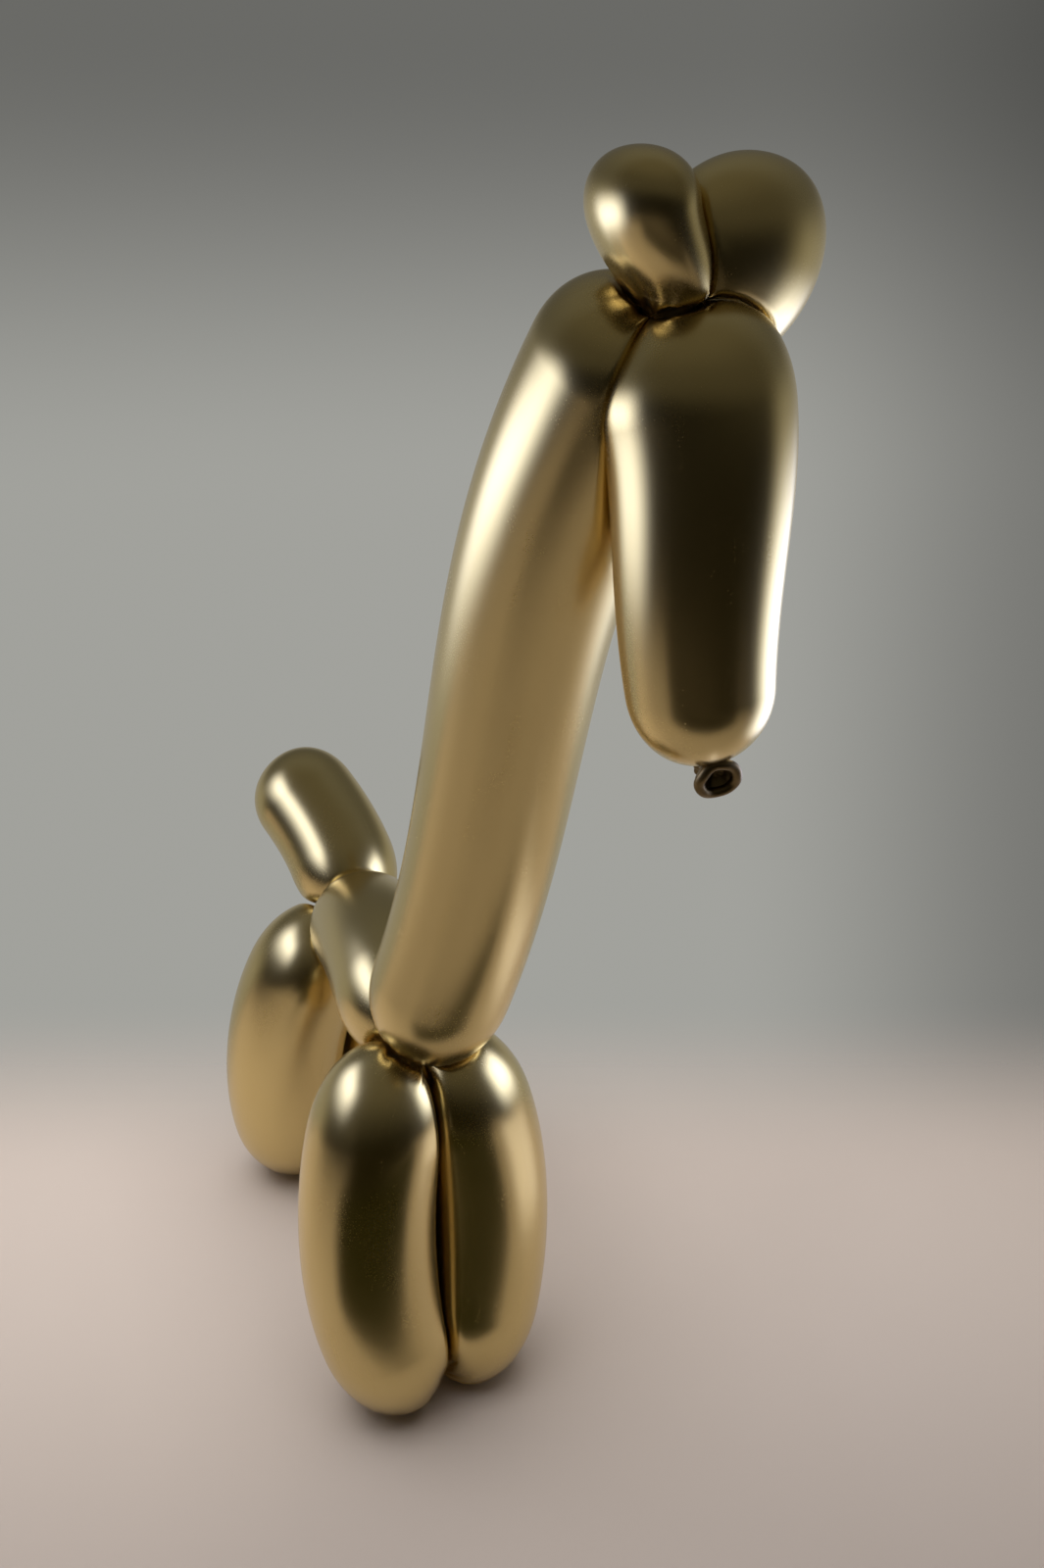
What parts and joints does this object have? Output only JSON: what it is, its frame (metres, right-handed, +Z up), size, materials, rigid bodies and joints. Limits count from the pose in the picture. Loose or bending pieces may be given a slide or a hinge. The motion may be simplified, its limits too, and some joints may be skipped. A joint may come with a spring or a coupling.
{
  "type": "balloon animal",
  "caption": "Giraffe twisted from a long metallic gold balloon: bent neck, hanging muzzle with a tied nozzle, pressed ears, folded legs and upturned tail; a standing party figure.",
  "frame": {"origin": "middle of the base box, on the plane that the four feet stand on", "axes": "+Z up along the height, -Y the way the figure faces, +X its own left"},
  "size_m": [0.1158, 0.292, 0.407],
  "materials": {
    "gold_rubber": "metallic gold balloon latex, satin mirror, soft wide highlights"
  },
  "bodies": {
    "root": {"balloon": "gold_rubber"}
  },
  "joints": []
}
